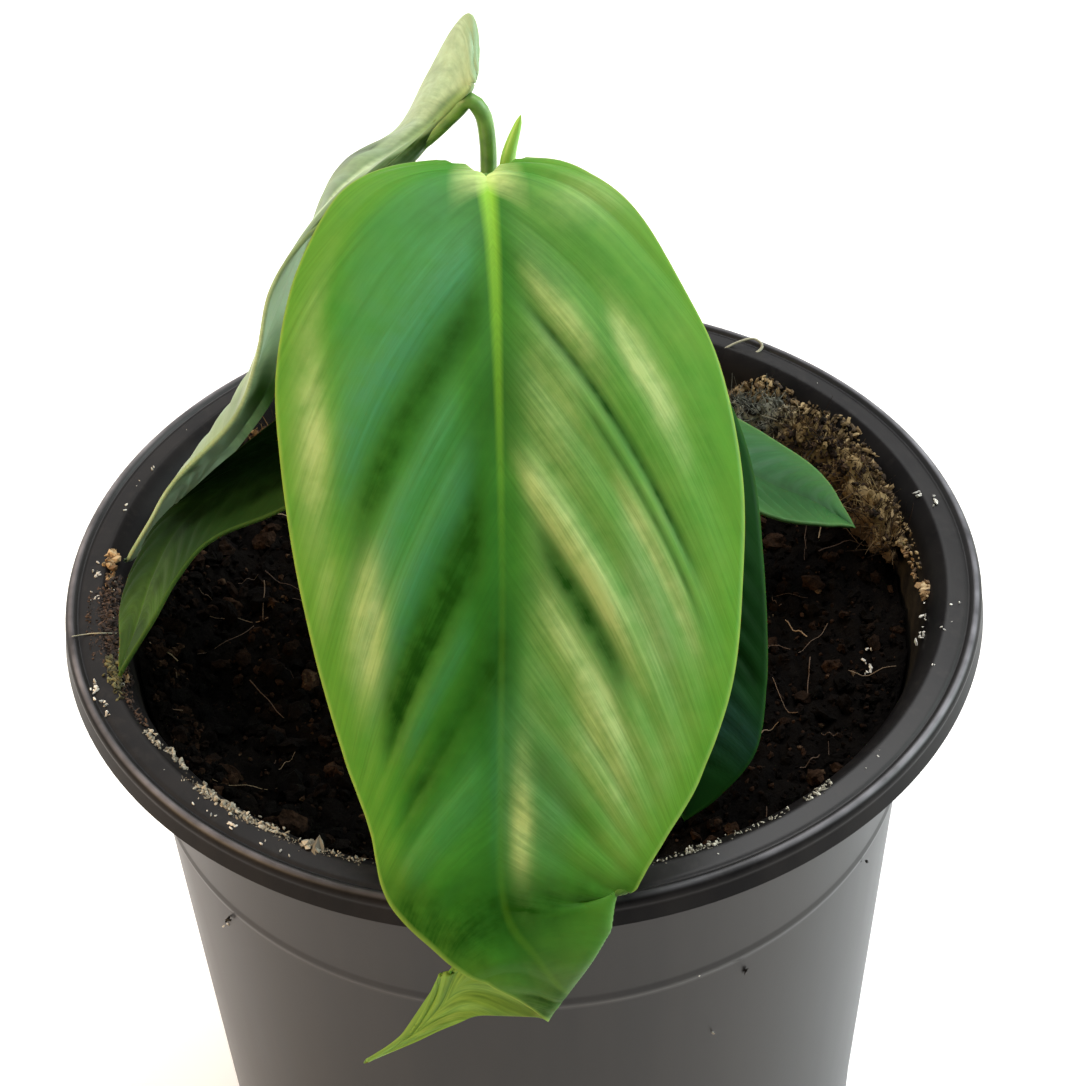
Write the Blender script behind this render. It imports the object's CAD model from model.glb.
import math
import random

import bmesh
import bpy
import numpy as np
from mathutils import Euler, Matrix, Vector


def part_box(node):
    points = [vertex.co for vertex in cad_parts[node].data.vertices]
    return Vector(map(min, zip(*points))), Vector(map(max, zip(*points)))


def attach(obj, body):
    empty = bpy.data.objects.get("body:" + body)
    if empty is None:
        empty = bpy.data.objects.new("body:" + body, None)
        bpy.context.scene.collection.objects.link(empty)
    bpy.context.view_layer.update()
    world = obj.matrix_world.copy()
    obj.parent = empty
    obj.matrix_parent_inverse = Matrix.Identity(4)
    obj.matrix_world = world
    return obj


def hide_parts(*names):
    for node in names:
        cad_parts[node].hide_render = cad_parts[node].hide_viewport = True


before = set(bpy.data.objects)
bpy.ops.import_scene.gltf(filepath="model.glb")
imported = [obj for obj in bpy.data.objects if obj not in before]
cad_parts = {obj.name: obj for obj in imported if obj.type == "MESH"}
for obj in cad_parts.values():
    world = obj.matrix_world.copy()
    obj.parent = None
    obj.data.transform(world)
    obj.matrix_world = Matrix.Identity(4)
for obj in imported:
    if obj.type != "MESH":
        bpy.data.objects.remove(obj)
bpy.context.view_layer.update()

mm = 0.001

# The view: the photograph looks steeply down into the pot with a long lens. The turns, in
# degrees, bring the rim's ellipse and the taper of the pot onto the photograph.
photo_side = 1086
focal_pixels = 3300
sensor_side = 36
camera_distance = 471.62 * mm
camera_rise = 41.36
camera_yaw = -0.379
camera_pitch = 0.498
camera_roll = 2.556
rim_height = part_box("pot")[1].z
rim_top = Vector((0, 0, rim_height))

camera = bpy.data.objects.new("camera", bpy.data.cameras.new("camera"))
camera.data.sensor_width = sensor_side
camera.data.lens = sensor_side * focal_pixels / photo_side
camera.data.clip_start = 0.01
camera.data.clip_end = 20
stand = Matrix.Translation(rim_top) @ Matrix.Rotation(math.radians(90 - camera_rise), 4, "X")
stand = stand @ Matrix.Translation((0, 0, camera_distance))
for turn, axis in ((camera_yaw, "Y"), (camera_pitch, "X"), (-camera_roll, "Z")):
    stand = stand @ Matrix.Rotation(math.radians(turn), 4, axis)
camera.matrix_world = stand
bpy.context.collection.objects.link(camera)
bpy.context.scene.camera = camera


# The pot: one thin shell of black polypropylene, injection moulded. It has a flat flange
# with a beaded edge, a turned-down skirt, eight drain holes and a shallow foot.
base_radius = 48.6 * mm
shoulder_radius = 56.4 * mm
shoulder_depth = 13 * mm
throat_radius = 57.4 * mm
throat_depth = 3 * mm
wall_thickness = 1.2 * mm
floor_thickness = 1.6 * mm
corner_height = 3 * mm
drain_count = 8
drain_radius = 4 * mm
drain_circle = 37 * mm
pot_steps = 192


def linear(code):
    """An sRGB hex value as the linear colour that a shader takes."""
    parts = [int(code[k:k + 2], 16) / 255 for k in (1, 3, 5)]
    return [*(c / 12.92 if c <= 0.04045 else ((c + 0.055) / 1.055) ** 2.4 for c in parts), 1]


def add(tree, kind, inputs=None, stops=None, **settings):
    """Adds one node with its settings, values and links, and the stops of its ramp. A node
    that is given as an input stands for its first output."""
    made = tree.nodes.new("ShaderNode" + kind)
    for name, value in settings.items():
        setattr(made, name, value)
    for key, value in (inputs or {}).items():
        if isinstance(value, bpy.types.Node):
            value = value.outputs[0]
        if isinstance(value, bpy.types.NodeSocket):
            tree.links.new(value, made.inputs[key])
        else:
            made.inputs[key].default_value = value
    for k, (place, shade) in enumerate(stops or []):
        points = made.color_ramp.elements
        point = points[k] if k < 2 else points.new(place)
        point.position = place
        point.color = linear(shade)
    return made


def new_material(name):
    """An empty node material and its tree."""
    made = bpy.data.materials.new(name)
    made.use_nodes = True
    made.node_tree.nodes.clear()
    return made, made.node_tree


def show(name, mesh, material, replaced=()):
    """Puts a finished mesh in the scene, riding on the one body."""
    piece = bpy.data.objects.new(name, mesh)
    bpy.context.collection.objects.link(piece)
    mesh.materials.append(material)
    mesh.shade_smooth()
    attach(piece, "root")
    if replaced:
        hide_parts(*replaced)
    return piece


def spun(profile, steps):
    """A turned body: a profile of (radius, height) pairs in mm, spun about the pot's axis."""
    body = bmesh.new()
    corners = [body.verts.new((radius * mm, 0, height * mm)) for radius, height in profile]
    for first, second in zip(corners, corners[1:]):
        body.edges.new((first, second))
    bmesh.ops.spin(body, geom=body.verts[:] + body.edges[:], cent=(0, 0, 0), axis=(0, 0, 1),
                   angle=2 * math.pi, steps=steps, use_merge=True)
    bmesh.ops.remove_doubles(body, verts=body.verts, dist=0.001 * mm)
    bmesh.ops.recalc_face_normals(body, faces=body.faces)
    return body


def finished(body, name):
    """Turns a bmesh into a mesh."""
    mesh = bpy.data.meshes.new(name)
    body.to_mesh(mesh)
    body.free()
    return mesh


def cut(mesh, tool):
    """The mesh with the tool's volume taken out of it."""
    holder = bpy.data.objects.new("holder", mesh)
    cutter = bpy.data.objects.new("cutter", tool)
    bpy.context.collection.objects.link(holder)
    bpy.context.collection.objects.link(cutter)
    boolean = holder.modifiers.new("cut", "BOOLEAN")
    boolean.object = cutter
    boolean.solver = "EXACT"
    graph = bpy.context.evaluated_depsgraph_get()
    result = bpy.data.meshes.new_from_object(holder.evaluated_get(graph))
    bpy.data.objects.remove(holder)
    bpy.data.objects.remove(cutter)
    return result


def wall_inner_radius(drop):
    """The wall's inside radius at a depth below the rim's top."""
    taper = (shoulder_radius - base_radius) / (rim_height - shoulder_depth)
    inside = shoulder_radius - wall_thickness
    if drop >= shoulder_depth:
        return inside - taper * (drop - shoulder_depth)
    share = (shoulder_depth - drop) / (shoulder_depth - throat_depth)
    return inside + (throat_radius - inside) * share


pot_outside = [
    (0, 0.5), (34, 0.5), (35, 0.1), (36, 0), (47.4, 0), (48.3, 0.35), (48.6, 1.2), (48.65, 1.8),
    (49.4, 11.4), (49.45, 12), (49.6, 12.25), (49.62, 12.8), (49.55, 13.1), (49.6, 13.7),
    (54.95, 83.4), (55.0, 84), (55.28, 84.4), (55.38, 85.2), (55.2, 85.7), (55.24, 86.3),
    (56.3, 100.6), (56.4, 101.6), (56.6, 102.8), (56.9, 103.8), (58.7, 110.2), (60.2, 112.9),
    (60.8, 113.2), (63.8, 113.2), (64.2, 112.8), (64.5, 110.8), (64.7, 110.6), (65.5, 110.6),
    (65.65, 110.75), (65.62, 110.95), (65.2, 112.8), (65.15, 113.1), (65.3, 113.4),
    (65.3, 113.9), (65.1, 114.35), (64.75, 114.68), (64.35, 114.82), (64, 114.78),
    (63.75, 114.6), (63.6, 114.4), (63.45, 114.32), (63.3, 114.36), (63.1, 114.5), (62.8, 114.62),
    (62.6, 114.66), (60.9, 114.96), (60.5, 115), (60.1, 114.97), (59.85, 114.8), (58.6, 114.1),
]
pot_inside = [(wall_inner_radius(drop) / mm, (rim_height - drop) / mm)
              for drop in (throat_depth, shoulder_depth, rim_height - corner_height)]
pot_inside += [(pot_inside[-1][0] - 1.4, floor_thickness / mm), (0, floor_thickness / mm)]
shell = finished(spun(pot_outside + pot_inside, pot_steps), "pot_shell")
drills = bmesh.new()
for k in range(drain_count):
    angle = (k + 0.5) / drain_count * 2 * math.pi
    place = Vector((math.cos(angle), math.sin(angle), 0)) * drain_circle
    bmesh.ops.create_cone(drills, cap_ends=True, segments=24, radius1=drain_radius,
                          radius2=drain_radius, depth=4 * floor_thickness,
                          matrix=Matrix.Translation(place))
shell = cut(shell, finished(drills, "drills"))

# Satin polypropylene: near black, soft wide highlights, a dusty bloom on the rim and
# faint water marks that run down the outside
polypropylene, tree = new_material("satin_black_polypropylene")
where = add(tree, "TexCoord").outputs["Object"]
place = add(tree, "SeparateXYZ", {0: where})
height = place.outputs["Z"]
flat_place = add(tree, "VectorMath", {0: where, 1: (1, 1, 0)}, operation="MULTIPLY")
from_axis = add(tree, "VectorMath", {0: flat_place}, operation="LENGTH").outputs["Value"]
dust_grain = add(tree, "TexNoise", {"Vector": where, "Scale": 1 / (2.5 * mm), "Detail": 6,
                 "Roughness": 0.7})
stretched = add(tree, "Mapping", {"Vector": where, "Scale": (1, 1, 0.12)})
streaks = add(tree, "TexNoise", {"Vector": stretched, "Scale": 1 / (7 * mm), "Detail": 4})
on_rim = add(tree, "MapRange", {0: height, 1: rim_height - 1.6 * mm, 2: rim_height - 0.4 * mm})
bloom = add(tree, "MapRange", {0: dust_grain, 1: 0.45, 2: 0.75, 3: 0, 4: 0.25})
rim_dust = add(tree, "Math", {0: on_rim, 1: bloom}, operation="MULTIPLY")
water_marks = add(tree, "MapRange", {0: streaks, 1: 0.35, 2: 0.7, 3: 0, 4: 0.12})
dirt = add(tree, "Math", {0: rim_dust, 1: water_marks}, operation="MAXIMUM")
tint = add(tree, "ValToRGB", {0: dirt}, [(0, "#131213"), (1, "#433e3a")])

# A narrow worn line runs along the bead's crest at the sides
worn = add(tree, "MapRange", {0: from_axis, 1: 64 * mm, 2: 64.4 * mm})
off_middle = add(tree, "Math", {0: place.outputs["X"]}, operation="ABSOLUTE")
for part in (add(tree, "MapRange", {0: height, 1: rim_height - 0.9 * mm, 2: rim_height - 0.4 * mm}),
             add(tree, "MapRange", {0: from_axis, 1: 64.7 * mm, 2: 65 * mm, 3: 1, 4: 0}),
             add(tree, "MapRange", {0: streaks, 1: 0.3, 2: 0.65, 3: 0.2, 4: 1}),
             add(tree, "MapRange", {0: off_middle, 1: 15 * mm, 2: 50 * mm, 3: 0.25, 4: 1})):
    worn = add(tree, "Math", {0: worn, 1: part}, operation="MULTIPLY")

# Peat dust clings to the inner wall above the mix, most of it at the right
normal = add(tree, "NewGeometry").outputs["Normal"]
outwards = add(tree, "VectorMath", {0: where, 1: normal}, operation="DOT_PRODUCT").outputs["Value"]
facing_in = add(tree, "Math", {0: outwards, 1: 0}, operation="LESS_THAN")
soiled = add(tree, "MapRange", {0: from_axis, 1: 56.8 * mm, 2: 57.6 * mm, 3: 1, 4: 0})
for part in (add(tree, "MapRange", {0: dust_grain, 1: 0.4, 2: 0.65, 3: 0.1, 4: 0.8}),
             add(tree, "MapRange", {0: height, 1: rim_height - 16 * mm, 2: rim_height - 14 * mm}),
             facing_in,
             add(tree, "MapRange", {0: place.outputs["X"], 1: -30 * mm, 2: 30 * mm, 3: 0.15, 4: 0.4})):
    soiled = add(tree, "Math", {0: soiled, 1: part}, operation="MULTIPLY")
for amount, shade in ((worn, "#77757a"), (soiled, "#4d4639")):
    tint = add(tree, "Mix", {0: amount, 6: tint, 7: linear(shade)}, data_type="RGBA").outputs[2]

# The skirt, the lip inside the flange and the inner wall are duller than the rest
shine = add(tree, "MapRange", {0: from_axis, 1: 64.85 * mm, 2: 65.1 * mm, 3: 0.25, 4: 0.05})
lip_side = add(tree, "MapRange", {0: from_axis, 1: 60.1 * mm, 2: 60.7 * mm, 3: 1, 4: 0})
lip_high = add(tree, "MapRange", {0: height, 1: rim_height - 6 * mm, 2: rim_height - 5 * mm})
lip = add(tree, "Math", {0: lip_side, 1: lip_high}, operation="MULTIPLY")
dull = add(tree, "Math", {0: lip, 1: facing_in}, operation="MAXIMUM")
shine = add(tree, "MapRange", {0: dull, 3: shine, 4: 0.03})
gloss = add(tree, "MapRange", {0: dirt, 3: 0.36, 4: 0.6})
grain = add(tree, "TexNoise", {"Vector": where, "Scale": 1 / (0.5 * mm), "Detail": 2})
relief = add(tree, "Bump", {"Height": grain, "Strength": 0.08, "Distance": 0.05 * mm})
shader = add(tree, "BsdfPrincipled", {"Base Color": tint, "IOR": 1.5, "Roughness": gloss,
             "Specular IOR Level": shine, "Normal": relief})
add(tree, "OutputMaterial", {0: shader})
pot = show("nursery_pot", shell, polypropylene, ["pot"])
pot.data.set_sharp_from_angle(angle=math.radians(50))


# The potting mix: dark peat with bark, crumbled and watered flat. It fills the pot to
# just under the rim and banks up against the wall at the right rear and on the left.
fit = 0.35
soil_depth = 12.3
stem_axis = Vector((-0.5, 5, 0))
stem_radius = 3.9
stem_depth = 45
hole_length = 80
dice = random.Random(11)


def smooth(low, high, value):
    """An S-shaped step from 0 to 1."""
    share = np.clip((value - low) / (high - low), 0, 1)
    return share * share * (3 - 2 * share)


def soil_level(x, y):
    """The height of the mix above its mean level, in millimetres."""
    radius = np.hypot(x, y)
    angle = np.arctan2(y, x)
    crumbs = 0.5 * np.sin(0.41 * x + 1.3) * np.cos(0.37 * y - 0.4)
    crumbs = crumbs + 0.35 * np.sin(0.73 * x - 0.55 * y) + 0.25 * np.sin(0.9 * y + 0.7 * x + 1)
    bank_right = 1.6 * smooth(40, 55, radius) * np.maximum(0, np.cos(angle - 0.5))
    bank_left = 4.6 * smooth(45, 55.5, radius) * np.maximum(0, -np.cos(angle + 0.12)) ** 1.5
    hollow = 0.9 * (1 - smooth(5, 16, np.hypot(x - stem_axis.x, y - stem_axis.y)))
    return crumbs + bank_right + bank_left - hollow


soil_top = rim_height / mm - soil_depth
soil_edge = wall_inner_radius(shoulder_depth) / mm - fit
soil_floor = floor_thickness / mm + fit
collar = soil_depth + 3.2
foot_edge = wall_inner_radius(rim_height - soil_floor * mm) / mm - fit
rings = [soil_edge - 0.3 - k * (soil_edge - 0.3) / 60 for k in range(60)]
mix_profile = [(0, soil_floor), (foot_edge - 1.5, soil_floor), (foot_edge - 0.1, soil_floor + 1.4)]
mix_profile += [(wall_inner_radius(collar * mm) / mm - fit, rim_height / mm - collar)]
mix_profile += [(soil_edge, soil_top)] + [(ring, soil_top) for ring in rings] + [(0, soil_top)]
mix = spun(mix_profile, 200)
for corner in mix.verts:
    if corner.co.z > (soil_top - 1) * mm:
        x, y = corner.co.x / mm, corner.co.y / mm
        rough = 0.5 * math.sin(1.3 * x + 0.9 * y) * math.sin(1.1 * y - 0.7 * x + 2)
        rough += 0.45 * math.sin(2.3 * x + 1.1 * y) * math.sin(2.7 * y - 0.8 * x)
        rough += dice.uniform(-0.55, 0.35)
        rise = float(soil_level(x, y)) + rough
        radius = math.hypot(x, y)
        spread = 1 + 0.2 * max(rise, 0) * float(smooth(50, 55, radius)) / max(radius, 1)
        corner.co = Vector((x * spread, y * spread, corner.co.z / mm + rise)) * mm
hole_middle = Vector((stem_axis.x, stem_axis.y, hole_length / 2 - stem_depth - fit)) * mm + rim_top
stem_hole = bmesh.new()
bmesh.ops.create_cone(stem_hole, cap_ends=True, segments=32, radius1=(stem_radius + fit) * mm,
                      radius2=(stem_radius + fit) * mm, depth=hole_length * mm,
                      matrix=Matrix.Translation(hole_middle))
mix_mesh = cut(finished(mix, "mix"), finished(stem_hole, "stem_hole"))


def lump(seed, detail, roughness):
    """A crumb of unit size: a rounded ball with its corners pushed in and out."""
    draw = random.Random(seed)
    body = bmesh.new()
    bmesh.ops.create_icosphere(body, subdivisions=detail, radius=1)
    for corner in body.verts:
        corner.co *= draw.uniform(1 - roughness, 1 + roughness)
    return finished(body, "lump")


crumb_lumps = [lump(seed, 1, 0.35) for seed in range(6)]
clod_lumps = [lump(seed, 2, 0.28) for seed in range(20, 28)]


def lay(heap, lumps, place, size, flatness, tilt):
    """Adds one squashed and tilted lump to a growing heap, at a place in millimetres."""
    copy = dice.choice(lumps).copy()
    copy.transform(Matrix.Translation(place * mm) @ Euler(tilt).to_matrix().to_4x4()
                   @ Matrix.Scale(size * mm, 4) @ Matrix.Diagonal((*flatness, 1)))
    heap.from_mesh(copy)
    bpy.data.meshes.remove(copy)


def scattered(name, batches):
    """Crumbs lying on the mix; a batch is (count, sizes, lumps, flatness, arc in degrees,
    the least distance from the axis)."""
    heap = bmesh.new()
    for count, sizes, lumps, flat, arc, inner in batches:
        for _ in range(count):
            size = dice.triangular(sizes[0], sizes[1], sizes[0])
            outer = soil_edge - 0.6 * size
            radius = math.sqrt(dice.uniform(inner**2, outer**2))
            angle = math.radians(dice.uniform(*arc))
            x, y = radius * math.cos(angle), radius * math.sin(angle)
            if math.hypot(x - stem_axis.x, y - stem_axis.y) < stem_radius + size + 1.2:
                continue
            z = soil_top + float(soil_level(x, y)) + 0.15 * size
            lay(heap, lumps, Vector((x, y, z)), size, (1, dice.uniform(0.4, 1), dice.uniform(flat, 1)),
                (dice.gauss(0, 0.6), dice.gauss(0, 0.6), dice.uniform(0, 6.3)))
    return finished(heap, name)


def peat_material(name, tone, ramp):
    """Damp peat: nearly black and matt, broken into fine grains by its relief; its tone is a
    number, or None for one that changes from crumb to crumb, from black peat to tan bark."""
    made, tree = new_material(name)
    where = add(tree, "TexCoord").outputs["Object"]
    mottle = add(tree, "TexNoise", {"Vector": where, "Scale": 1 / (5 * mm), "Detail": 8,
                 "Roughness": 0.75})
    if tone is None:
        tone = add(tree, "NewGeometry").outputs["Random Per Island"]
    level = add(tree, "Math", {0: tone, 1: mottle}, operation="MULTIPLY")
    tint = add(tree, "ValToRGB", {0: level}, ramp)
    specks = add(tree, "TexNoise", {"Vector": where, "Scale": 1 / (0.9 * mm), "Detail": 5})
    relief = add(tree, "Bump", {"Height": specks, "Strength": 1, "Distance": 0.7 * mm})
    shader = add(tree, "BsdfPrincipled", {"Base Color": tint, "Roughness": 0.9,
                 "Specular IOR Level": 0.05, "Normal": relief})
    add(tree, "OutputMaterial", {0: shader})
    return made


peat = peat_material("moist_peat", 1.0, [(0.35, "#030202"), (0.75, "#17110c"), (0.6, "#0a0705")])
bark = peat_material("peat_crumbs_and_bark", None, [(0, "#050403"), (1, "#a8967a"),
                     (0.3, "#0d0907"), (0.42, "#1d130c"), (0.54, "#33241a"), (0.62, "#66543f")])
show("mix_body", mix_mesh, peat, ["potting_mix"])
fine = scattered("crumbs", [(6800, (0.2, 0.75), crumb_lumps, 0.6, (0, 360), 0),
                            (900, (0.2, 0.6), crumb_lumps, 0.6, (120, 215), 50)])
clods = scattered("clods", [(800, (0.7, 2.0), clod_lumps, 0.5, (0, 360), 0),
                            (120, (1.1, 2.7), clod_lumps, 0.25, (110, 300), 0),
                            (150, (0.6, 1.5), clod_lumps, 0.5, (125, 215), 50)])
for name, heap in (("mix_crumbs", fine), ("mix_clods", clods)):
    show(name, heap, bark).data.shade_flat()


# Fibres in the mix: thin pale roots and shreds of bark, dried to straw or brown and dull.
# They lie loose on the crumbs.
def strands(name, routes, sides=0):
    """Closed thin tubes along many routes; a route is a list of (point, radius)."""
    curve = bpy.data.curves.new(name, "CURVE")
    curve.dimensions = "3D"
    curve.bevel_depth = 1
    curve.bevel_resolution = sides
    curve.use_fill_caps = True
    for route in routes:
        line = curve.splines.new("POLY")
        line.points.add(len(route) - 1)
        for point, (place, radius) in zip(line.points, route):
            point.co = (*place, 1)
            point.radius = radius
    holder = bpy.data.objects.new(name, curve)
    mesh = bpy.data.meshes.new_from_object(holder)
    bpy.data.objects.remove(holder)
    mesh.materials.clear()
    return mesh


def loose_material(name, shades, roughness):
    """Dry loose bits: matt, each of one shade between the three given."""
    made, tree = new_material(name)
    each = add(tree, "NewGeometry").outputs["Random Per Island"]
    tint = add(tree, "ValToRGB", {0: each}, shades)
    shader = add(tree, "BsdfPrincipled", {"Base Color": tint, "Roughness": roughness})
    add(tree, "OutputMaterial", {0: shader})
    return made


fibre_routes = []
for _ in range(150):
    length = dice.triangular(2, 12, 3)
    radius = soil_edge * math.sqrt(dice.random()) * 0.97
    around = dice.uniform(0, 2 * math.pi)
    spot = np.array([radius * math.cos(around), radius * math.sin(around)])
    heading = dice.uniform(0, 2 * math.pi)
    bend = dice.gauss(0, 0.05)
    thick = dice.uniform(0.05, 0.13)
    rise = dice.uniform(0.4, 1.3)
    route = []
    for k in range(9):
        if np.hypot(*spot) > soil_edge - 0.5 or np.hypot(*(spot - stem_axis.to_2d())) < 5.5:
            break
        z = soil_top + float(soil_level(*spot)) + rise + 0.35 * math.sin(k * 1.3 + length)
        route.append((Vector((*spot, z)) * mm, thick * (1 - 0.05 * k) * mm))
        heading += bend + dice.gauss(0, 0.07)
        spot = spot + np.array([math.cos(heading), math.sin(heading)]) * length / 8
    if len(route) > 3:
        fibre_routes.append(route)
root_fibre = loose_material("dried_root_fibre", [(0, "#2a1c12"), (1, "#b09a78"), (0.5, "#4b3726"),
                            (0.85, "#7d6850")], 0.7)
show("mix_fibres", strands("fibres", fibre_routes), root_fibre)


# The stem: a short upright green shoot, grown from its roots in the mix. It has a ring
# where each leaf grew.
stem_profile = [(0, -stem_depth), (2.9, -stem_depth), (3.65, 3 - stem_depth)]
for ring in (-14, -9, -4):
    stem_profile += [(3.6, ring - 1.3), (3.75, ring - 0.5), (stem_radius, ring), (3.7, ring + 0.4),
                     (3.6, ring + 0.9)]
stem_profile += [(3.6, 0), (3.3, 1.4), (2.6, 2.4), (1.5, 2.9), (0, 3)]
stem = spun(stem_profile, 32)
bmesh.ops.translate(stem, verts=stem.verts, vec=stem_axis * mm + rim_top)


def skin_material(name, grain, shades, roughness):
    """Fresh plant skin: smooth, slightly waxy, a little translucent, with paler flecks."""
    made, tree = new_material(name)
    where = add(tree, "TexCoord").outputs["Object"]
    flecks = add(tree, "TexNoise", {"Vector": where, "Scale": 1 / grain, "Detail": 4})
    tint = add(tree, "ValToRGB", {0: flecks}, [(0.35, shades[0]), (0.7, shades[1])])
    shader = add(tree, "BsdfPrincipled", {"Base Color": tint, "Roughness": roughness,
                 "Subsurface Weight": 0.1, "Subsurface Scale": 1 * mm})
    add(tree, "OutputMaterial", {0: shader})
    return made


stem_skin = skin_material("green_stem_skin", 1.5 * mm, ("#3d5f26", "#7c9a4c"), 0.45)
show("stem_shoot", finished(stem, "stem"), stem_skin, ["stem"])


# The leaves: each is one heart-shaped blade, thin, waxy above and matt below, grown on a
# round stalk that clasps the stem and runs on under the blade as its midrib. A blade is
# drawn flat, u from the sinus to the tip and v from margin to margin, then laid along a curve.
blade_thickness = 0.6
foot_radius = 1.6
foot_height = -9.5
petiole_radius = 1.15
keel_radius = 0.34
keel_depths = (1.25, 0.5)
vein_arch = 0.12
# Marks are the dark channels, pale patches and bluish sheens that follow a side vein: (kind,
# half, mm along the midrib, mm wide, reach from midrib to margin, amount, relief). Spots lie
# on the flat blade: (kind, x, y, wide, long, amount). upper has the face's colours in the
# order of parts_of_colour, wax its roughness and shine, and under the underside's two greens.
DARK, PALE, SHEEN = range(3)
# The heart's shape, in shares of half the width and of the length: its margin lies at the
# first two numbers, and the third says how far along the midrib that station starts
heart = [
    (0.2, -0.085, -0.012), (0.52, -0.075, 0), (0.8, 0, 0.015), (0.96, 0.13, 0.05),
    (1, 0.28, 0.11), (0.97, 0.43, 0.2), (0.86, 0.58, 0.31), (0.66, 0.72, 0.45),
    (0.4, 0.84, 0.61), (0.17, 0.925, 0.79), (0, 1, 1),
]
# A blade follows its spine, in mm from the rim's top, and sides point across it. gutter lifts
# both halves, droop lowers their margins, and pleat is (mm between folds, mm deep). petiole is
# the stalk's route, and keel says at which shares of the midrib it goes on under the blade.
leaves = {}
# The large front leaf: its tip is rolled under along a slanting fold
leaves["front"] = dict(
    upper="#286018 #3a7820 #528326 #163e06 #94aa68 #3f7a4a #7aae2c #c4d58a #7f9c40",
    under="#4e7220 #7a9c38",
    wax=(0.4, 0.15),
    spine=[
        (-2.5, 13.5, 61.5), (-2.4, 6, 63), (-1.9, -5.5, 58.8), (-2.1, -23.5, 47.7),
        (-2.7, -41, 33.3), (-3.9, -56.3, 17.2), (-4.5, -67.3, 3.3), (-1.9, -71.8, -3.2),
        (1.1, -73.6, -10.3),
    ],
    sides=[(1, 0, 0)] * 9,
    midrib=[
        (0, -1.5), (0, -0.5), (0, 1.5), (0, 5), (0, 11), (0, 19), (0, 29), (0, 41),
        (0, 55), (0, 70), (0, 84), (0.3, 96), (2.4, 107), (4.3, 117), (4.4, 126),
        (-0.9, 130.8), (-5.4, 135.6), (-10.3, 141.7),
    ],
    left=[
        (-6.5, -7), (-13, -4.4), (-20.8, 1.5), (-26, 12.3), (-28.6, 26), (-28.2, 38),
        (-26.4, 52), (-23.5, 65.4), (-19.4, 78.5), (-16.4, 86.7), (-14.4, 94.4),
        (-9, 99.7), (-5.3, 104.7), (-1.5, 112), (-0.6, 123.6), (-2.7, 129.4),
        (-6, 134.8), (-10.3, 141.7),
    ],
    right=[
        (5.5, -6.5), (10.2, -3.3), (18, 5), (24.1, 16.1), (28.6, 27), (31, 42),
        (30.6, 56), (29.3, 68), (25.6, 79.4), (21, 87.6), (17.8, 94.2), (15.4, 103.2),
        (12.6, 113), (9.6, 122), (9.6, 128.5), (1.5, 131.9), (-4.9, 136.1),
        (-10.3, 141.7),
    ],
    width=62,
    gutter=0.16,
    droop=8,
    fold={"corner": (11.5, 102.95), "angle": math.radians(55), "turn": math.radians(160),
          "tight": 0.9, "loose": 2, "taper": (-7, 9)},
    foot_angle=-82,
    petiole=[(-0.8, 4.3, 25), (-2.2, 9, 46), (-2.7, 11.2, 57), (-2.6, 9.4, 61.2)],
    keel=[0.1, 0.2, 0.3, 0.4, 0.5, 0.6],
    grid=(280, 80),
    pleat=(9, 0.22),
    rib=1.0,
    marks=[
        (SHEEN, -1, 2, 5, (0.15, 0.75), 0.4, 0),
        (SHEEN, -1, 9, 4.2, (0.06, 0.78), 1, 0.5),
        (DARK, -1, 16.5, 4.3, (0.03, 0.76), 0.8, -0.55),
        (SHEEN, -1, 24, 4, (0.16, 0.75), 0.7, 0.35),
        (SHEEN, -1, 34, 5, (0.1, 0.7), 0.85, 0.45),
        (DARK, -1, 31, 6, (-0.1, 0.22), 0.5, 0),
        (DARK, -1, 44, 7, (0.05, 0.8), 1, -0.65),
        (SHEEN, -1, 54, 3.2, (0.16, 0.7), 0.45, 0.4),
        (DARK, -1, 65, 8, (-0.1, 0.8), 0.7, -0.35),
        (SHEEN, -1, 78, 6, (0.1, 0.85), 0.35, 0.3),
        (PALE, -1, 4, 6, (0.76, 0.96), 0.6, 0),
        (PALE, -1, 14, 3, (0.8, 0.96), 0.4, 0),
        (PALE, -1, 25, 7, (0.6, 0.88), 0.5, 0),
        (PALE, 1, 42, 40, (0.08, 0.95), 0.25, 0),
        (PALE, 1, 10.5, 2.2, (0.1, 0.42), 0.6, 0.15),
        (PALE, 1, 5.6, 2, (0.44, 0.74), 1.1, 0.2),
        (DARK, 1, 14.5, 1.1, (0.1, 0.82), 0.9, -0.35),
        (DARK, 1, 18, 0.9, (0.28, 0.86), 0.7, -0.3),
        (PALE, 1, 21.5, 2.5, (0.42, 0.86), 0.6, 0.2),
        (SHEEN, 1, 28, 5, (0.45, 0.8), 0.5, 0),
        (PALE, 1, 37.5, 2.6, (0.06, 0.58), 1, 0.45),
        (DARK, 1, 43.5, 3.4, (0.12, 0.62), 0.9, -0.6),
        (PALE, 1, 50.5, 3.4, (0.16, 0.66), 0.6, 0.35),
        (PALE, 1, 58, 9, (0.35, 0.8), 0.5, 0),
        (SHEEN, 1, 78, 14, (-0.1, 0.5), 0.55, 0),
        (DARK, 1, 74, 3, (0.15, 0.7), 0.4, -0.25),
    ],
    spots=[
        (PALE, 2.8, 86, 1.3, 8, 1), (DARK, 0, 97, 40, 5, 0.9), (DARK, 2, 112, 30, 9, 0.75),
        (PALE, 4, 112, 14, 6, 0.5), (DARK, -1, 64, 2.4, 16, 0.15), (PALE, 13, 4, 5, 4, 0.4),
        (PALE, 7, 32, 4.5, 10, 0.3), (PALE, -23.3, 35, 1.8, 9, 0.5),
        (PALE, -16.3, 62, 2, 9, 0.75), (PALE, 18.5, 60, 3, 12, 0.25),
    ],
)
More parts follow.
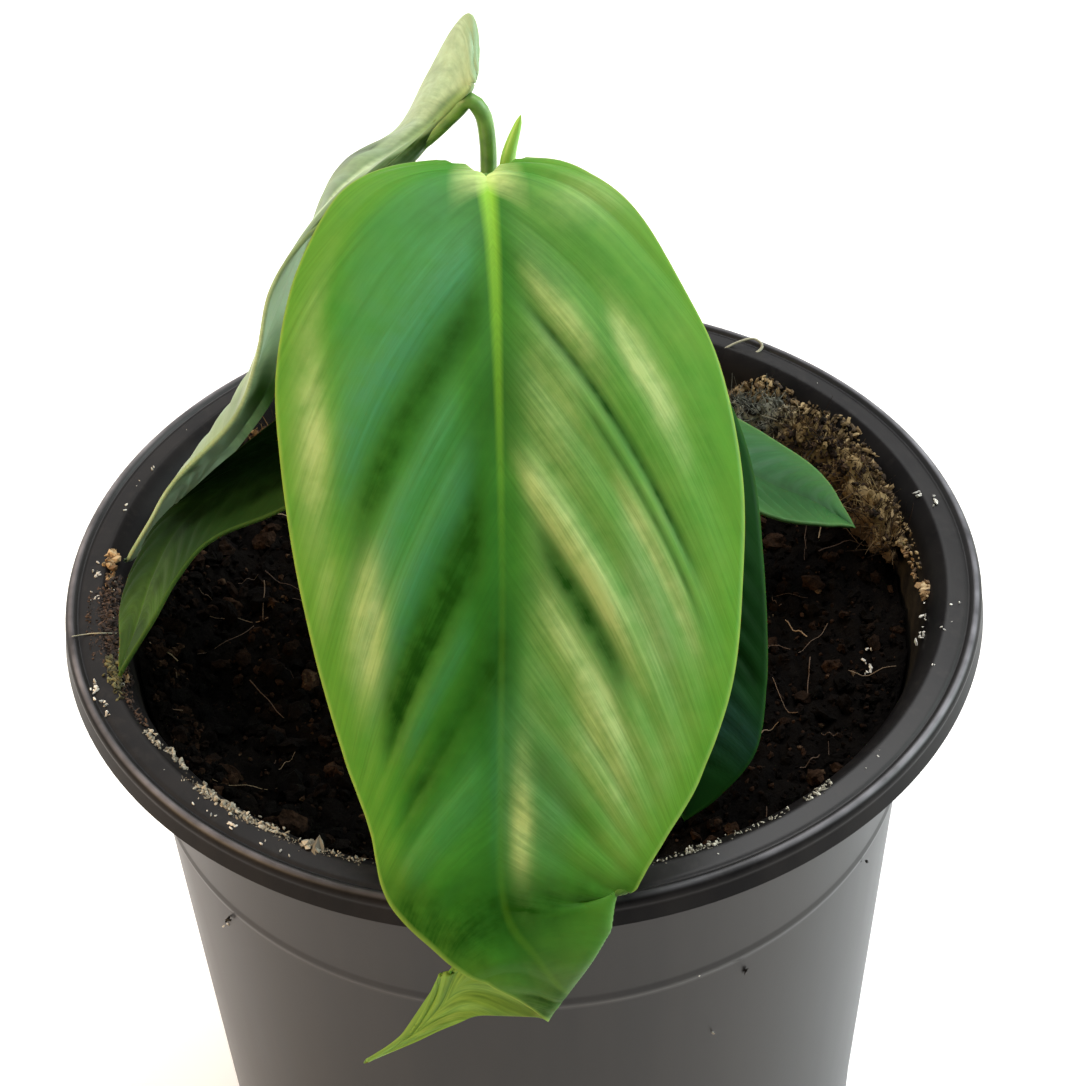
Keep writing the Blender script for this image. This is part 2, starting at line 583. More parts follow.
# The rear left leaf: its two halves turn different ways, so curves in space carry them
leaves["rear_left"] = dict(
    upper="#527148 #658356 #788f65 #24400f #a4bd98 #7a9574 #7fa05c #a6bb8e #8fa676",
    under="#5d7a46 #829b66",
    wax=(0.4, 0.22),
    slot="leaf_grey_green",
    rails={
        "midrib": [
            (-3.6, 17.7, 71.3), (-4.2, 17.3, 70.7), (-5.2, 17.5, 69.4), (-7.2, 18.2, 66.9),
            (-10.3, 19.2, 63.2), (-14.5, 20, 59.5), (-19.5, 20.1, 55.8),
            (-24.2, 19.6, 51.3), (-28.3, 18.5, 45), (-31.1, 16.2, 36), (-35.1, 13.2, 25),
            (-44.7, 10.6, 12.5), (-57.2, 7, -0.7),
        ],
        "left": [
            (-3.4, 19.2, 72.2), (-2.8, 22.5, 74.2), (-3.4, 26.5, 76.5), (-6, 29.2, 72.3),
            (-9.9, 31.4, 63.6), (-14.6, 33.7, 53.7), (-22.3, 37.5, 46.4),
            (-26.6, 37.2, 39.4), (-31.6, 32.8, 26.2), (-33.7, 26.8, 16.4),
            (-41.4, 19.9, 8.4), (-50.4, 12.7, 2.9), (-57.2, 7, -0.7),
        ],
        "right": [
            (-4.2, 18.3, 69.9), (-5.1, 19.5, 67.6), (-7.3, 21, 64.5), (-9.6, 20.9, 60.8),
            (-13.6, 17.2, 58.4), (-20.4, 11, 57.6), (-27.2, 6.4, 55), (-32, 2.6, 49.5),
            (-34.5, -1.6, 41), (-38.5, -2.3, 31.6), (-48.2, 2.1, 17.7),
            (-52.9, 5.5, 7.6), (-57.2, 7, -0.7),
        ],
    },
    crown=0.06,
    foot_angle=101,
    petiole=[(-1.9, 13.5, 30), (-2.2, 16.8, 55), (-2.1, 17.6, 62.4),
             (-2.7, 17.8, 66.6), (-4.3, 17.8, 68.7)],
    keel=[0.25, 0.36, 0.48, 0.58, 0.68, 0.78],
    grid=(180, 56),
    pleat=(7, 0.18),
    rib=0.8,
    marks=[
        (DARK, 1, 10, 11, (0.25, 1.2), 1, 0),
        (DARK, -1, 17, 4, (0.5, 1.2), 1, 0),
        (PALE, -1, 2, 14, (0.1, 1.2), 0.75, 0.2),
        (PALE, 1, 34, 17, (-0.1, 1.2), 1, 0),
        (DARK, 1, 52, 6, (0.7, 1.3), 0.5, 0), (DARK, -1, 60, 7, (-0.25, 1.3), 1, 0),
        (PALE, 1, 80, 16, (-0.1, 0.6), 1, 0.1), (PALE, 1, 92, 9, (-0.1, 1.3), 1, 0),
        (PALE, 1, 30, 14, (-0.1, 0.35), 0.7, 0.1), (PALE, -1, 90, 12, (-0.1, 1.2), 1, 0),
    ],
)
# The low left leaf, in the shade of the one above it
leaves["low_left"] = dict(
    upper="#10280a #142a0c #223a14 #081604 #587c34 #2a4428 #26401a #3a5224 #48642a",
    under="#38541f #5c7838",
    wax=(0.46, 0.08),
    spine=[
        (-12.5, 12, 25.4), (-15.4, 11.5, 24.7), (-23.3, 10, 22.2), (-31.9, 7.5, 18.9),
        (-40.9, 3.8, 15.1), (-47.6, -1.2, 12.4), (-51.3, -7.2, 8.9), (-53.6, -13.3, 5.2),
        (-56.3, -19.2, 1.2),
    ],
    sides=[
        (0.14, -0.98, 0.12), (0.16, -0.98, 0.07), (0.22, -0.97, 0.05), (0.29, -0.95, 0.11),
        (0.42, -0.89, 0.17), (0.6, -0.74, 0.31), (0.65, -0.6, 0.47), (0.62, -0.59, 0.52),
        (0.59, -0.62, 0.52),
    ],
    length=60.3,
    width=27,
    widths={-1: [1, 1, 0.85, 0.7, 0.53, 0.4, 0.34, 0.58, 0.92],
            1: [1, 1, 1, 1, 0.95, 0.88, 0.8, 0.8, 0.9]},
    gutter=0.12,
    droop=2,
    foot_angle=180,
    petiole=[(-9, 7.6, 15), (-12, 9.9, 23.4), (-14.6, 11.2, 24.6)],
    keel=[0.28, 0.4, 0.52, 0.64, 0.74],
    grid=(120, 40),
    pleat=(6, 0.08),
    rib=0.6,
    marks=[
        (DARK, 1, 8, 18, (-0.3, 0.72), 1, 0),
        (DARK, -1, 14, 24, (-0.3, 1.2), 1, 0),
        (DARK, 1, 32, 6, (-0.3, 0.4), 0.8, 0),
        (PALE, 1, 51, 10, (-0.1, 1.2), 0.3, 0), (PALE, -1, 54, 9, (-0.1, 1.2), 0.3, 0),
        (DARK, 1, 48, 3, (0.3, 0.7), 0.5, 0),
    ],
)
# The small leaf at the right
leaves["right"] = dict(
    upper="#1b3d1a #244a21 #355b2b #163617 #4f6b45 #345b3c #486838 #546f40 #4b6c3c",
    under="#48703a #6c8c58",
    wax=(0.44, 0.12),
    spine=[
        (16.6, 13.5, 15.3), (18.4, 13, 14.7), (24.8, 12.5, 11.6), (31.3, 12, 7.7),
        (37.1, 11.5, 4.2), (42.5, 11, 1.5), (46, 10.5, -1), (48.6, 10, -3),
    ],
    sides=[
        (0.27, 0.96, 0), (0.12, 0.99, 0), (0.08, 1, 0), (0.08, 1, 0),
        (0.09, 1, 0), (0.11, 0.99, 0), (0.16, 0.99, 0), (0.19, 0.98, 0),
    ],
    length=35.2,
    width=19,
    widths=dict.fromkeys((-1, 1), [1, 1, 1, 1, 1, 1.02, 1.06, 1.15, 1.25, 1.3]),
    gutter=0.2,
    droop=0.6,
    foot_angle=11,
    petiole=[(8.4, 9.4, 6.5), (12.5, 11.9, 12.6), (17, 13, 14.8)],
    keel=[0.32, 0.46, 0.6, 0.74],
    grid=(100, 36),
    pleat=(4, 0.13),
    rib=0.5,
    marks=[(SHEEN, 1, 14, 8, (0.1, 0.9), 0.4, 0), (DARK, -1, 16, 10, (0.3, 1.2), 0.3, 0)],
)
# The dark leaf that hangs down behind the large one
leaves["behind"] = dict(
    upper="#072006 #0a280c #133810 #041604 #1b3d26 #1a332c #193914 #26491f #244a18",
    under="#30562a #507844",
    wax=(0.46, 0.05),
    slot="leaf_dark_green",
    spine=[
        (10, 8.5, 32.6), (10.6, 7.5, 31.6), (12.7, 0.5, 26.8), (15.1, -9, 20.3),
        (16.9, -19.5, 13), (18.5, -29, 5.1), (19.6, -36, -2.3), (20.4, -41, -9.4),
    ],
    sides=[
        (0.86, 0.51, 0), (0.95, 0.32, 0), (0.96, 0.26, 0), (0.98, 0.21, 0),
        (0.99, 0.17, 0), (0.99, 0.16, 0), (0.99, 0.16, 0), (0.99, 0.16, 0),
    ],
    length=65.2,
    width=36,
    widths={-1: [0.6, 0.6, 0.7, 0.85], 1: [1, 1, 1, 1, 1, 0.96, 0.99, 1.14, 1.48, 1.5]},
    shifts={1: [0, 0, 0, 0, 0, 2, 2.6, 2.6, 2.9, 2.6]},
    gutter=0.12,
    droop=3,
    foot_angle=-38,
    petiole=[(7.2, 4.5, 17), (8.6, 8.4, 29), (9.6, 8.9, 31.6)],
    keel=[0.26, 0.38, 0.5, 0.62, 0.72],
    grid=(130, 44),
    pleat=(6, 0.16),
    rib=0.6,
    marks=[
        (DARK, 1, 20, 12, (0.3, 1.2), 0.6, 0),
        (SHEEN, 1, 50, 9, (0.2, 1.2), 0.7, 0),
        (DARK, 1, 34, 3, (0.2, 1), 0.6, -0.3),
    ],
)


def through(points, shares):
    """Points at shares from 0 to 1 of an evenly weighted spline through hand-set points."""
    knots = np.array(points, float)
    knots = np.vstack([2 * knots[0] - knots[1], knots, 2 * knots[-1] - knots[-2]])
    place = np.clip(shares, 0, 1) * (len(points) - 1)
    span = np.minimum(place.astype(int), len(points) - 2)
    t = (place - span)[..., None]
    a, b, c, d = (knots[span + step] for step in range(4))
    return b + t / 2 * (c - a + t * (2 * a - 5 * b + 4 * c - d + t * (3 * b - a - 3 * c + d)))


def run_along(points):
    """Shares from 0 to 1 of a spline, and the length of the spline up to each of them."""
    shares = np.linspace(0, 1, 1200)
    steps = np.linalg.norm(np.diff(through(points, shares), axis=0), axis=1)
    return shares, np.concatenate([[0], np.cumsum(steps)])


def unit(vectors):
    """Vectors brought to length 1."""
    return vectors / np.linalg.norm(vectors, axis=-1, keepdims=True)


def direction_along(points, shares):
    """The direction of a spline at the given shares."""
    step = 1e-4
    low, high = np.clip(shares - step, 0, 1), np.clip(shares + step, 0, 1)
    return unit(through(points, high) - through(points, low))


def heart_margin(leaf, side):
    """One margin of a heart-shaped blade, from its sinus to its tip."""
    widths = leaf.get("widths", {}).get(side, [])
    shifts = leaf.get("shifts", {}).get(side, [])
    margin = []
    for k, (across, along, _) in enumerate(heart):
        width = widths[k] if k < len(widths) else 1
        shift = shifts[k] if k < len(shifts) else 0
        margin.append((side * across * leaf["width"] / 2 * width, along * leaf["length"] + shift))
    return margin


for leaf in leaves.values():
    if "length" in leaf:
        leaf["midrib"] = [(0, along * leaf["length"]) for _, _, along in heart]
        leaf["left"], leaf["right"] = heart_margin(leaf, -1), heart_margin(leaf, 1)
    leaf["outline"] = leaf.get("rails") or {name: leaf[name] for name in ("midrib", "left", "right")}


def outline_at(leaf, u, v):
    """The points of the midrib, the left and right margin, and v's own margin at u."""
    root, left, right = (through(leaf["outline"][name], u) for name in ("midrib", "left", "right"))
    return root, left, right, np.where((v < 0)[..., None], left, right)


def flat_blade(leaf, u, v):
    """Where a point of the blade lies while it is still flat."""
    root, _, _, edge = outline_at(leaf, u, v)
    away = np.abs(v)[..., None]
    vein = (root + edge) / 2
    vein[..., 0] += vein_arch * np.where(v < 0, -1, 1) * (edge - root)[..., 1]
    vein[..., 1] -= vein_arch * np.abs((edge - root)[..., 0])
    return (1 - away) ** 2 * root + 2 * away * (1 - away) * vein + away ** 2 * edge


def turned_over(leaf, x, y, height):
    """Rolls what lies beyond the fold line under the blade."""
    fold = leaf["fold"]
    across = math.cos(fold["angle"]), math.sin(fold["angle"])
    dx, dy = x - fold["corner"][0], y - fold["corner"][1]
    beyond = dx * across[0] + dy * across[1]
    along = dy * across[0] - dx * across[1]
    radius = fold["tight"] + (fold["loose"] - fold["tight"]) * smooth(*fold["taper"], along)
    bend = np.clip(beyond / radius, 0, fold["turn"])
    rest = np.maximum(beyond - radius * fold["turn"], 0)
    reach = radius * np.sin(bend) + rest * math.cos(fold["turn"])
    sink = radius * (1 - np.cos(bend)) + rest * math.sin(fold["turn"])
    over = beyond > 0
    x = np.where(over, fold["corner"][0] + reach * across[0] - along * across[1], x)
    y = np.where(over, fold["corner"][1] + reach * across[1] + along * across[0], y)
    return x, y, np.where(over, height * np.cos(bend) - sink, height)


def railed(leaf, u, v, relief):
    """A blade whose halves turn their own way: veins arch between curves in space."""
    root, left, right, edge = outline_at(leaf, u, v)
    ahead = direction_along(leaf["rails"]["midrib"], u)
    normal = unit(np.cross(ahead, right - left))
    reach = np.linalg.norm(edge - root, axis=-1, keepdims=True)
    vein = (root + edge) / 2 - vein_arch * reach * ahead + leaf["crown"] * reach * normal
    away = np.abs(v)[..., None]
    place = (1 - away) ** 2 * root + 2 * away * (1 - away) * vein + away ** 2 * edge
    return place + normal * (relief + 0 * u)[..., None]


def laid(leaf, u, v, relief=0):
    """Where a point of the blade lies on the plant, in millimetres from the rim's top."""
    if "rails" in leaf:
        return railed(leaf, u, v, relief)
    x, y = np.moveaxis(flat_blade(leaf, u, v), -1, 0)
    height = relief + 0 * x
    if "fold" in leaf:
        x, y, height = turned_over(leaf, x, y, height)
    height = height + leaf["gutter"] * np.abs(x) - leaf["droop"] * (2 * x / leaf["width"]) ** 2

    shares, lengths = run_along(leaf["spine"])
    along = y + np.interp(1 / (len(leaf["spine"]) - 1), shares, lengths)
    t = np.interp(along, lengths, shares)
    over = np.maximum(along - lengths[-1], 0) + np.minimum(along, 0)
    tangent = direction_along(leaf["spine"], t)
    across = through(leaf["sides"], t)
    across = unit(across - (across * tangent).sum(-1, keepdims=True) * tangent)
    normal = np.cross(tangent, across)
    place = through(leaf["spine"], t) + tangent * over[..., None]
    return place + across * x[..., None] + normal * height[..., None]


def vein_foot(leaf, u, v):
    """How far along the midrib, in mm from the sinus, the side vein through a point starts."""
    bow = np.abs(v) ** 0.75
    station = (u - 0.25 * bow) / (1 - 0.38 * bow)
    shares, lengths = run_along(leaf["outline"]["midrib"])
    return np.interp(station, shares, lengths) + 60 * np.minimum(station, 0)


def off_midrib(leaf, u, v):
    """How far a point lies from the midrib and from the margin, in mm."""
    root, _, _, edge = outline_at(leaf, u, v)
    half = np.linalg.norm(edge - root, axis=-1)
    return half * np.abs(v), half * (1 - np.abs(v))


def painted(leaf, u, v):
    """The amounts of dark, pale and sheen at each point, and the relief of the marks."""
    foot = vein_foot(leaf, u, v)
    amounts = np.zeros((3, *u.shape))
    relief = 0 * u
    for kind, side, place, spread, reach, amount, depth in leaf["marks"]:
        out = v * side
        span = smooth(reach[0] - 0.04, reach[0] + 0.1, out)
        span = span * (1 - smooth(reach[1] - 0.16, reach[1] + 0.04, out))
        span = span * np.exp(-(((foot - place) / spread) ** 2))
        amounts[kind] += amount * span
        relief = relief + depth * span * smooth(0.02, 0.14, np.abs(v))
    if "spots" in leaf:
        x, y = np.moveaxis(flat_blade(leaf, u, v), -1, 0)
        for kind, spot_x, spot_y, wide, long, amount in leaf["spots"]:
            amounts[kind] += amount * np.exp(-((x - spot_x) / wide) ** 2 - ((y - spot_y) / long) ** 2)
    return np.clip(amounts, 0, 1), relief


def pleated(leaf, u, v):
    """The blade's relief: soft pleats between the side veins, a groove along the midrib
    and the deeper folds of the marks."""
    spacing, depth = leaf["pleat"]
    turns = vein_foot(leaf, u, v) / spacing + np.where(v < 0, 0.2, 0)
    body = np.sin(np.pi * np.clip(np.abs(v), 0, 1))
    height = depth * body * np.cos(2 * np.pi * turns)
    groove = np.abs(turns % 1 - 0.5)
    height = height - 0.4 * depth * np.exp(-((groove / 0.07) ** 2)) * body
    middle, _ = off_midrib(leaf, u, v)
    height = height - 0.1 * np.exp(-((middle / (1.6 * leaf["rib"])) ** 2))
    return height + painted(leaf, u, v)[1]


def blade_mesh(name, leaf):
    """A blade as a sheet that keeps, as attributes, the amounts of its marks, its (u, v)
    and vein coordinates, and how far each point lies from the midrib and the margin."""
    rows, columns = leaf["grid"]
    sheet = bmesh.new()
    bmesh.ops.create_grid(sheet, x_segments=columns, y_segments=rows, size=1)
    bmesh.ops.reverse_faces(sheet, faces=sheet.faces)
    flat = np.array([corner.co for corner in sheet.verts])
    u, v = (flat[:, 1] + 1) / 2, flat[:, 0]
    where = laid(leaf, u, v, pleated(leaf, u, v)) * mm + np.array(rim_top)
    for corner, place in zip(sheet.verts, where):
        corner.co = place
    mesh = finished(sheet, name)
    for label, values in (("marks", painted(leaf, u, v)[0]), ("blade", (u, v, vein_foot(leaf, u, v))),
                          ("reach", (*off_midrib(leaf, u, v), 0 * u))):
        layer = mesh.attributes.new(label, "FLOAT_VECTOR", "POINT")
        layer.data.foreach_set("vector", np.stack(values, 1).astype(np.float32).ravel())
    sheet = bmesh.new()
    sheet.from_mesh(mesh)
    bmesh.ops.remove_doubles(sheet, verts=sheet.verts, dist=0.02 * mm)
    sheet.to_mesh(mesh)
    sheet.free()
    return mesh


def stalk_route(leaf):
    """The stalk's points from its foot on the stem to where it fades under the blade."""
    stations = np.array(leaf["keel"])
    middle = 0 * stations
    ahead = laid(leaf, stations + 0.01, middle) - laid(leaf, stations - 0.01, middle)
    aside = laid(leaf, stations, middle + 0.08) - laid(leaf, stations, middle - 0.08)
    depths = np.linspace(*keel_depths, len(stations))[:, None]
    keel = laid(leaf, stations, middle) - unit(np.cross(ahead, aside)) * depths
    angle = math.radians(leaf["foot_angle"])
    reach = stem_radius + foot_radius + fit
    foot = np.array([stem_axis.x + reach * math.cos(angle), stem_axis.y + reach * math.sin(angle)])
    return [(*foot, foot_height), (*foot, 0), *leaf["petiole"], *keel]


def centripetal(points, count):
    """Evenly spaced points along a smooth curve that never overshoots uneven points."""
    knots = np.array(points, float)
    knots = np.vstack([2 * knots[0] - knots[1], knots, 2 * knots[-1] - knots[-2]])
    gaps = np.linalg.norm(np.diff(knots, axis=0), axis=1) ** 0.5
    dense = []
    for k in range(1, len(knots) - 2):
        a, b, c, d = knots[k - 1:k + 3]
        g0, g1, g2 = gaps[k - 1:k + 2]
        m1 = ((b - a) / g0 - (c - a) / (g0 + g1) + (c - b) / g1) * g1
        m2 = ((c - b) / g1 - (d - b) / (g1 + g2) + (d - c) / g2) * g1
        t = np.linspace(0, 1, 30)[:, None]
        dense.append((2 * t**3 - 3 * t**2 + 1) * b + (t**3 - 2 * t**2 + t) * m1
                     + (3 * t**2 - 2 * t**3) * c + (t**3 - t**2) * m2)
    dense = np.vstack(dense)
    lengths = np.concatenate([[0], np.cumsum(np.linalg.norm(np.diff(dense, axis=0), axis=1))])
    wanted = np.linspace(0, lengths[-1], count)
    return np.stack([np.interp(wanted, lengths, dense[:, axis]) for axis in range(3)], 1)


def tapered(points, radii):
    """A route for strands: points in mm from the rim's top, each with its radius in mm."""
    return [(Vector(place) * mm + rim_top, radius * mm) for place, radius in zip(points, radii)]


def stalk_mesh(name, leaf):
    """The stalk: thick where it clasps the stem, and thin where it ends as the midrib."""
    route = stalk_route(leaf)
    points = centripetal(route, 110)
    joint = route[len(leaf["petiole"]) + 1]
    t = np.linspace(0, 1, len(points))
    share = t[np.argmin(np.linalg.norm(points - np.array(joint), axis=1))]
    swelling = (foot_radius - petiole_radius) * (1 - smooth(0, 0.3, t / share))
    thinning = (petiole_radius - keel_radius) * smooth(0, 0.75, (t - share) / (1 - share))
    return strands(name, [tapered(points, petiole_radius + swelling - thinning)], sides=3)


def leaf_surface(name, colours, wax, specular):
    """A waxy upper face: deep green by the midrib and lighter to the margin, with fine
    streaks along the veins, the blade's own marks, a lime midrib and a thin pale edge."""
    made, tree = new_material(name)
    where = add(tree, "TexCoord").outputs["Object"]
    blade, marks, reach = (add(tree, "Attribute", attribute_name=label).outputs["Vector"]
                           for label in ("blade", "marks", "reach"))
    along, across, foot = add(tree, "SeparateXYZ", {0: blade}).outputs
    off_rib, off_edge, _ = add(tree, "SeparateXYZ", {0: reach}).outputs
    away = add(tree, "Math", {0: across}, operation="ABSOLUTE")
    clouds = add(tree, "TexNoise", {"Vector": where, "Scale": 1 / (9 * mm), "Detail": 5,
                 "Roughness": 0.6})
    # Streaks of about 0.8 mm along the side veins
    stretched = add(tree, "Mapping", {"Vector": blade, "Scale": (0, 2.5, 1.25)})
    streaks = add(tree, "TexNoise", {"Vector": stretched, "Scale": 1, "Detail": 4, "Roughness": 0.65})
    band = add(tree, "Math", {0: away, 1: clouds}, operation="ADD")
    band = add(tree, "MapRange", {0: band, 1: 0.45, 2: 1.5})
    tint = add(tree, "ValToRGB", {0: band}, [(0, colours["deep"]), (1, colours["edge"]),
               (0.5, colours["middle"])])
    # Blotches of about 2.5 mm break up the marks
    blotches = add(tree, "TexNoise", {"Vector": where, "Scale": 1 / (2.5 * mm), "Detail": 4})
    ragged = add(tree, "Math", {0: streaks, 1: blotches}, operation="ADD")
    ragged = add(tree, "Math", {0: ragged, 1: clouds}, operation="ADD")
    ragged = add(tree, "MapRange", {0: ragged, 1: 1.2, 2: 1.8, 3: 0.6, 4: 1.2})
    dark, pale, sheen = (add(tree, "Math", {0: mark, 1: ragged}, operation="MULTIPLY", use_clamp=True)
                         for mark in add(tree, "SeparateXYZ", {0: marks}).outputs)
    shine = add(tree, "MapRange", {0: dark, 3: specular, 4: 0.4 * specular})
    # The midrib narrows and fades on its way to the tip
    width = add(tree, "MapRange", {0: along, 1: 0.05, 2: 0.4, 3: 1.45, 4: 0.6})
    rib = add(tree, "Math", {0: off_rib, 1: width}, operation="DIVIDE")
    rib = add(tree, "MapRange", {0: rib, 1: 0.35, 2: 1.3, 3: 1, 4: 0})
    fade = add(tree, "MapRange", {0: along, 1: 0.12, 2: 0.46, 3: 1, 4: 0.08})
    rib = add(tree, "Math", {0: rib, 1: fade}, operation="MULTIPLY")
    # The knot where the stalk meets the blade is cream
    knot = add(tree, "MapRange", {0: foot, 1: 0.6, 2: 3, 3: 1, 4: 0})
    beside = add(tree, "MapRange", {0: off_rib, 1: 1, 2: 5.5, 3: 0.75, 4: 0})
    cream = add(tree, "Math", {0: knot, 1: beside}, operation="MULTIPLY")
    cream = add(tree, "Math", {0: cream, 1: ragged}, operation="MULTIPLY", use_clamp=True)
    margin = add(tree, "MapRange", {0: off_edge, 1: 0.15, 2: 0.6, 3: 0.6, 4: 0})
    for amount, key in ((sheen, "sheen"), (pale, "pale"), (dark, "dark"), (rib, "rib"),
                        (cream, "knot"), (margin, "margin")):
        tint = add(tree, "Mix", {0: amount, 6: tint, 7: linear(colours[key])},
                   data_type="RGBA").outputs[2]
    fine = add(tree, "MapRange", {0: streaks, 1: 0.3, 2: 0.7, 3: 0.87, 4: 1.13})
    tint = add(tree, "VectorMath", {0: tint, 1: fine}, operation="MULTIPLY")
    relief = add(tree, "Bump", {"Height": streaks, "Strength": 0.3, "Distance": 0.12 * mm})
    gloss = add(tree, "MapRange", {0: clouds, 1: 0.35, 2: 0.65, 3: wax, 4: wax + 0.1})
    shader = add(tree, "BsdfPrincipled", {"Base Color": tint, "Roughness": gloss, "IOR": 1.42,
                 "Specular IOR Level": shine, "Normal": relief, "Subsurface Weight": 0.1,
                 "Subsurface Scale": 1 * mm})
    add(tree, "OutputMaterial", {0: shader})
    return made


def leaf_underside(name, colours, tone, vein):
    """The paler matt underside of a blade; its dark and pale marks show through."""
    made, tree = new_material(name)
    blade, marks = (add(tree, "Attribute", attribute_name=label).outputs["Vector"]
                    for label in ("blade", "marks"))
    stretched = add(tree, "Mapping", {"Vector": blade, "Scale": (0, 2.5, 0.9)})
    streaks = add(tree, "TexNoise", {"Vector": stretched, "Scale": 1, "Detail": 4})
    tint = add(tree, "ValToRGB", {0: streaks}, [(0.3, tone), (0.75, vein)])
    dark, pale, _ = add(tree, "SeparateXYZ", {0: marks}).outputs
    for amount, key in ((pale, "pale"), (dark, "dark")):
        tint = add(tree, "Mix", {0: amount, 6: tint, 7: linear(colours[key])},
                   data_type="RGBA").outputs[2]
    shader = add(tree, "BsdfPrincipled", {"Base Color": tint, "Roughness": 0.5,
                 "Specular IOR Level": 0.2, "Subsurface Weight": 0.1, "Subsurface Scale": 1 * mm})
    add(tree, "OutputMaterial", {0: shader})
    return made


stalk_skin = skin_material("green_stalk_skin", 3 * mm, ("#4a7329", "#6f9a40"), 0.4)
parts_of_colour = ("deep", "middle", "edge", "dark", "pale", "sheen", "rib", "knot", "margin")
for name, leaf in leaves.items():
    colours = dict(zip(parts_of_colour, leaf["upper"].split()))
    upper = leaf_surface(name + "_waxy_leaf_face", colours, *leaf["wax"])
    under = leaf_underside(name + "_matt_leaf_underside", colours, *leaf["under"].split())
    blade = show(name + "_blade", blade_mesh(name, leaf), upper, ["leaf_" + name])
    blade.data.materials.append(under)
    skin = blade.modifiers.new("thickness", "SOLIDIFY")
    skin.thickness = blade_thickness * mm
    skin.offset = 0
    skin.material_offset = 1
    show(name + "_stalk", stalk_mesh(name, leaf), stalk_skin)


# The next leaf, still rolled up: a slim waxy spear on its own stalk, which grows from the
# stem's top. It is yellower towards its tip.
spear_points = centripetal([(-0.3, 6, 3.35), (0.1, 7.4, 18), (0.6, 10.4, 36), (0.3, 14.8, 59.5),
                            (2.5, 16.5, 66.8)], 60)
spear_radius = 0.75
point_radius = 0.08
point_share = 0.1
t = np.linspace(0, 1, len(spear_points))
radii = spear_radius + 0.3 * smooth(0.5, 0.86, t)
narrowing = np.sqrt(np.clip((1 - t) / point_share, 0, 1))
radii = point_radius + (radii - point_radius) * narrowing
young, tree = new_material("young_leaf_skin")
where = add(tree, "TexCoord").outputs["Object"]
height = add(tree, "SeparateXYZ", {0: where}).outputs["Z"]
climb = add(tree, "MapRange", {0: height, 1: rim_height + 40 * mm, 2: rim_height + 66 * mm})
tint = add(tree, "ValToRGB", {0: climb}, [(0, "#5c8a35"), (1, "#8cc24a")])
shader = add(tree, "BsdfPrincipled", {"Base Color": tint, "Roughness": 0.4,
             "Subsurface Weight": 0.15, "Subsurface Scale": 1 * mm})
add(tree, "OutputMaterial", {0: shader})
spear = strands("spear", [tapered(spear_points, radii)], sides=3)
show("new_leaf_spear", spear, young, ["new_leaf"])


# Dry moss: ragged clumps of it lie on the mix against the wall, at the right rear and a
# small one at the left rear. Each is a lumpy core under small clumps and short curled
# strands; it is tan along its ridge, dark brown in its gaps and grey at its left end.
moss_mound = {"from": 7, "to": 54, "radius": 54.6, "height": -6.6, "across": 3.4, "high": 5.6,
              "tone": 0.95}
moss_tuft = {"from": 131, "to": 140, "radius": 54.4, "height": -8, "across": 2, "high": 5,
             "tone": 0.54}


def moss_place(roll, t, turn, grow=0):
    """A point on a moss roll: t runs along it and turn runs round it."""
    angle = math.radians(roll["from"] + (roll["to"] - roll["from"]) * t)
    end = math.sqrt(max(0, math.sin(math.pi * t)))
    ragged = 1 + 0.16 * math.sin(31 * t + 2 * turn) + 0.14 * math.sin(53 * t - 3 * turn)
    height = roll["height"] + (roll["high"] * end * ragged + grow) * math.sin(turn)
    limit = wall_inner_radius(max(-height, 1) * mm) / mm - 4 * fit
    radius = min(roll["radius"] + (roll["across"] * end * ragged + grow) * math.cos(turn), limit)
    return Vector((radius * math.cos(angle), radius * math.sin(angle), height + rim_height / mm))


def moss_core(name, roll, rings):
    """The lumpy core, shaped from a ball whose axis is laid along the wall."""
    core = bmesh.new()
    bmesh.ops.create_uvsphere(core, u_segments=24, v_segments=rings, radius=1)
    for corner in core.verts:
        t = math.acos(max(-1, min(1, corner.co.z))) / math.pi
        turn = math.atan2(corner.co.y, corner.co.x)
        corner.co = moss_place(roll, t, turn, dice.uniform(-0.6, 0.1)) * mm
    bmesh.ops.recalc_face_normals(core, faces=core.faces)
    return finished(core, name)


def moss_clumps(name, roll, count):
    """Small rough clumps, heaped unevenly over the core."""
    heap = bmesh.new()
    for _ in range(count):
        t = dice.choice([dice.uniform(0.02, 0.98), dice.triangular(0.3, 0.75, 0.5)])
        turn = dice.uniform(-0.3, math.pi * 0.95)
        size = dice.triangular(0.2, 1.1, 0.4)
        place = moss_place(roll, t, turn, dice.uniform(-0.8, 0.5) - 0.4 * size)
        lay(heap, clod_lumps, place, size, (1, dice.uniform(0.25, 0.8), dice.uniform(0.25, 0.8)),
            [dice.uniform(0, 6.3) for _ in range(3)])
    return finished(heap, name)


def moss_strands(name, roll, count):
    """Short curled strands that stand out of the core, with a few longer ones."""
    routes = []
    for number in range(count):
        t = dice.uniform(0.03, 0.97)
        turn = dice.uniform(-0.4, math.pi + 0.2)
        foot = moss_place(roll, t, turn, -0.5)
        out = (moss_place(roll, t, turn, 1) - foot).normalized()
        lean = Vector([dice.gauss(0, 1.3) for _ in range(3)])
        curl = Vector([dice.gauss(0, 1) for _ in range(3)])
        length = dice.triangular(0.4, 1.5, 0.7) + (2 if number % 80 == 0 else 0)
        thick = dice.uniform(0.05, 0.11)
        route = []
        for k in range(5):
            s = k / 4
            place = foot + (out + lean * 0.8) * (length * s) + curl * (length * s * s)
            reach = math.hypot(place.x, place.y)
            limit = wall_inner_radius(max(rim_height - place.z * mm, mm)) / mm - 0.5
            if reach > limit:
                place.x, place.y = place.x * limit / reach, place.y * limit / reach
            route.append((place * mm, thick * (1 - 0.55 * s) * mm))
        routes.append(route)
    return strands(name, routes)


